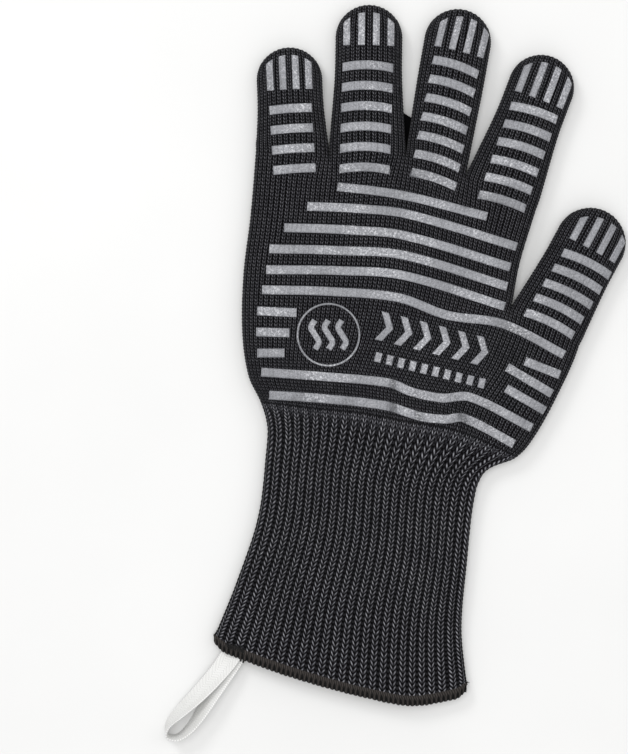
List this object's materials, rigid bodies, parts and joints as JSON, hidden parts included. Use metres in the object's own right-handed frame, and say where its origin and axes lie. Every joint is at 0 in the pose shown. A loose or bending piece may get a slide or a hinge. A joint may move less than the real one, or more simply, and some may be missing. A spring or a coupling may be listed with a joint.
{
  "type": "heat resistant glove",
  "caption": "Right-hand five-finger knitted glove, palm up, with silicone grip bars on both faces, a ribbed cuff, an overlocked hem and a hanging loop; digits, wrist and loop fold.",
  "frame": {"origin": "on the floor under the middle of the palm, on the underside of the printed grip block of the hand's back", "axes": "+Y towards the fingertips, +X towards the thumb, +Z out of the palm"},
  "size_m": [0.2207, 0.3475, 0.0174],
  "materials": {
    "aramid_knit": "jersey knit, V stitches 2 mm wide",
    "aramid_rib": "rib knit, 5 mm ribs",
    "cotton_liner": "soft matt cotton knit",
    "silicone_print": "satin, the knit shows through",
    "hem_thread": "overlocked thread",
    "bartack_thread": "sewing thread",
    "twill_tape": "herringbone twill tape"
  },
  "bodies": {
    "hand": {"palm_shell": "aramid_knit", "palm_liner": "cotton_liner", "palm_stripes": "silicone_print", "palm_badge": "silicone_print", "palm_grip_block": "silicone_print", "back_stripes": "silicone_print", "back_badge": "silicone_print", "back_grip_block": "silicone_print"},
    "cuff": {"cuff_shell": "aramid_rib", "cuff_liner": "cotton_liner", "hem_binding": "hem_thread", "hanging_loop_neck": "twill_tape", "loop_bartack": "bartack_thread"},
    "hanging_loop": {"hanging_loop": "twill_tape"},
    "pinky_proximal": {"pinky_proximal_shell": "aramid_knit", "pinky_proximal_liner": "cotton_liner", "pinky_proximal_palm_grips": "silicone_print", "pinky_proximal_back_grips": "silicone_print"},
    "pinky_distal": {"pinky_distal_shell": "aramid_knit", "pinky_distal_liner": "cotton_liner", "pinky_distal_palm_grips": "silicone_print", "pinky_distal_back_grips": "silicone_print"},
    "ring_proximal": {"ring_proximal_shell": "aramid_knit", "ring_proximal_liner": "cotton_liner", "ring_proximal_palm_grips": "silicone_print", "ring_proximal_back_grips": "silicone_print"},
    "ring_distal": {"ring_distal_shell": "aramid_knit", "ring_distal_liner": "cotton_liner", "ring_distal_palm_grips": "silicone_print", "ring_distal_back_grips": "silicone_print"},
    "middle_proximal": {"middle_proximal_shell": "aramid_knit", "middle_proximal_liner": "cotton_liner", "middle_proximal_palm_grips": "silicone_print", "middle_proximal_back_grips": "silicone_print"},
    "middle_distal": {"middle_distal_shell": "aramid_knit", "middle_distal_liner": "cotton_liner", "middle_distal_palm_grips": "silicone_print", "middle_distal_back_grips": "silicone_print"},
    "index_proximal": {"index_proximal_shell": "aramid_knit", "index_proximal_liner": "cotton_liner", "index_proximal_palm_grips": "silicone_print", "index_proximal_back_grips": "silicone_print"},
    "index_distal": {"index_distal_shell": "aramid_knit", "index_distal_liner": "cotton_liner", "index_distal_palm_grips": "silicone_print", "index_distal_back_grips": "silicone_print"},
    "thumb_proximal": {"thumb_proximal_shell": "aramid_knit", "thumb_proximal_liner": "cotton_liner", "thumb_proximal_palm_grips": "silicone_print", "thumb_proximal_back_grips": "silicone_print"},
    "thumb_distal": {"thumb_distal_shell": "aramid_knit", "thumb_distal_liner": "cotton_liner", "thumb_distal_palm_grips": "silicone_print", "thumb_distal_back_grips": "silicone_print"}
  },
  "joints": [
    {"name": "pinky_knuckle_fold", "type": "hinge", "parent": "hand", "child": "pinky_proximal", "pos_m": [-0.0424, 0.0865, 0.0072], "axis": [0.9998, 0.0175, 0], "range_deg": [-15, 88]},
    {"name": "pinky_middle_fold", "type": "hinge", "parent": "pinky_proximal", "child": "pinky_distal", "pos_m": [-0.04313, 0.10749, 0.0072], "axis": [0.9998, 0.0175, 0], "range_deg": [0, 88]},
    {"name": "ring_knuckle_fold", "type": "hinge", "parent": "hand", "child": "ring_proximal", "pos_m": [-0.0063, 0.0856, 0.0072], "axis": [1, -0.0087, 0], "range_deg": [-15, 88]},
    {"name": "ring_middle_fold", "type": "hinge", "parent": "ring_proximal", "child": "ring_distal", "pos_m": [-0.00576, 0.1166, 0.0072], "axis": [1, -0.0087, 0], "range_deg": [0, 88]},
    {"name": "middle_knuckle_fold", "type": "hinge", "parent": "hand", "child": "middle_proximal", "pos_m": [0.0285, 0.0816, 0.0072], "axis": [0.9962, -0.0872, 0], "range_deg": [-15, 88]},
    {"name": "middle_middle_fold", "type": "hinge", "parent": "middle_proximal", "child": "middle_distal", "pos_m": [0.03406, 0.11311, 0.0072], "axis": [0.9962, -0.0872, 0], "range_deg": [0, 88]},
    {"name": "index_knuckle_fold", "type": "hinge", "parent": "hand", "child": "index_proximal", "pos_m": [0.0611, 0.0683, 0.0072], "axis": [0.9825, -0.1865, 0], "range_deg": [-15, 88]},
    {"name": "index_middle_fold", "type": "hinge", "parent": "index_proximal", "child": "index_distal", "pos_m": [0.07173, 0.09528, 0.0072], "axis": [0.9825, -0.1865, 0], "range_deg": [0, 88]},
    {"name": "thumb_knuckle_fold", "type": "hinge", "parent": "hand", "child": "thumb_proximal", "pos_m": [0.0827, 0.0023, 0.0072], "axis": [0.9703, -0.2419, 0], "range_deg": [-10, 60]},
    {"name": "thumb_middle_fold", "type": "hinge", "parent": "thumb_proximal", "child": "thumb_distal", "pos_m": [0.09491, 0.02526, 0.0072], "axis": [0.9703, -0.2419, 0], "range_deg": [0, 78]},
    {"name": "wrist_fold", "type": "hinge", "parent": "hand", "child": "cuff", "pos_m": [-0.0036, -0.0676, 0.0072], "axis": [-0.9703, 0.2419, 0], "range_deg": [-44, 59]},
    {"name": "loop_swing", "type": "hinge", "parent": "cuff", "child": "hanging_loop", "pos_m": [-0.07432, -0.16523, 0.0045], "axis": [-0.7716, 0.6361, 0], "range_deg": [-84, 84]}
  ]
}
